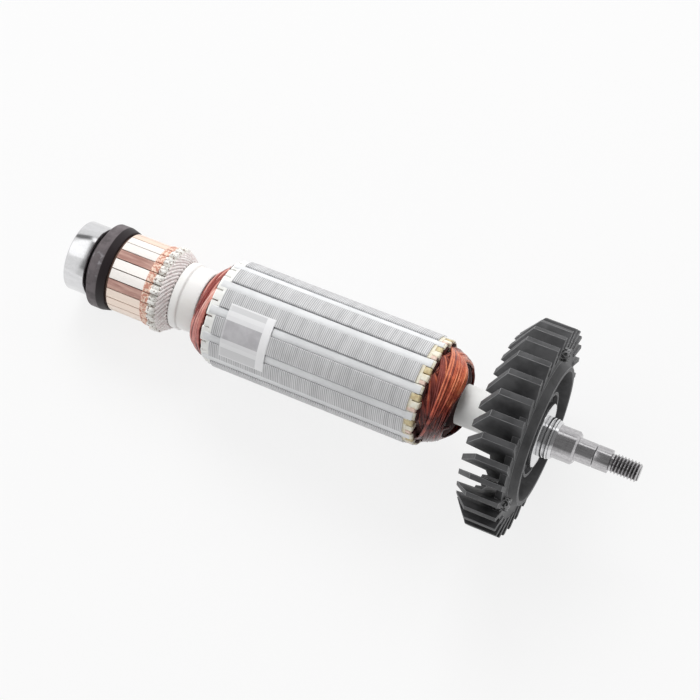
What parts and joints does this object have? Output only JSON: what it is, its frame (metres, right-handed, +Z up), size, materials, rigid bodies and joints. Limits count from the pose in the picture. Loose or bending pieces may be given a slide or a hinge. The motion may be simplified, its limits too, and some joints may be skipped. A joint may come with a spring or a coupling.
{
  "type": "motor armature",
  "caption": "Wound rotor of a grinder motor: shaft with rear ball bearing, commutator, slotted laminated core with windings, moulded fan and threaded drive end.",
  "frame": {"origin": "centre of the footprint on the surface that the armature lies on", "axes": "+Z up from the surface, +X along the armature towards its threaded drive end; the shaft climbs about 8 degrees towards the fan"},
  "size_m": [0.1826, 0.0638, 0.0645],
  "materials": {
    "shaft_steel": "turned and ground",
    "bearing_steel": "ground",
    "ball_steel": "polished",
    "shield_steel": "pressed sheet",
    "washer_moulding": "matt thermoset",
    "commutator_copper": "turned copper",
    "commutator_moulding": "matt thermoset",
    "mica": "matt",
    "bush_brass": "turned",
    "tinned_wire": "satin",
    "varnished_wrap": "varnished tape",
    "sleeve": "smooth",
    "lamination_steel": "ground across the stack",
    "slot_paper": "matt",
    "wedge_paper": "satin",
    "end_fibre": "matt",
    "enamelled_wire": "varnished enamelled copper wire",
    "fan_plastic": "matt glass-filled nylon"
  },
  "bodies": {
    "rotor": {"shaft": "shaft_steel", "bearing_inner_race": "bearing_steel", "insulating_washer": "washer_moulding", "commutator_bush": "bush_brass", "commutator_moulding": "commutator_moulding", "commutator_bars": "commutator_copper", "commutator_mica": "mica", "shaft_sleeve_rear": "sleeve", "lead_wrap": "varnished_wrap", "lead_wires": "tinned_wire", "core": "lamination_steel", "rear_end_plate": "end_fibre", "front_end_plate": "end_fibre", "slot_liners": "slot_paper", "slot_wedges": "wedge_paper", "coil_sides": "enamelled_wire", "rear_winding_head": "enamelled_wire", "front_winding_head": "enamelled_wire", "shaft_sleeve_front": "sleeve", "fan": "fan_plastic", "fan_washer": "shaft_steel", "spacer_collar": "shaft_steel"},
    "outer_race": {"bearing_outer_race": "bearing_steel", "bearing_shield_rear": "shield_steel", "bearing_shield_front": "shield_steel"},
    "ball_cage": {"bearing_balls": "ball_steel", "bearing_cage": "shield_steel"}
  },
  "joints": [
    {"name": "outer_race_spin", "type": "hinge", "parent": "rotor", "child": "outer_race", "pos_m": [-0.08632, 0, 0.01231], "axis": [0.9903, 0, 0.1389], "continuous": true},
    {"name": "cage_spin", "type": "hinge", "parent": "rotor", "child": "ball_cage", "pos_m": [-0.08632, 0, 0.01231], "axis": [0.9903, 0, 0.1389], "continuous": true}
  ],
  "couplings": [
    {"joint": "cage_spin", "follows": "outer_race_spin", "ratio": 0.63}
  ]
}
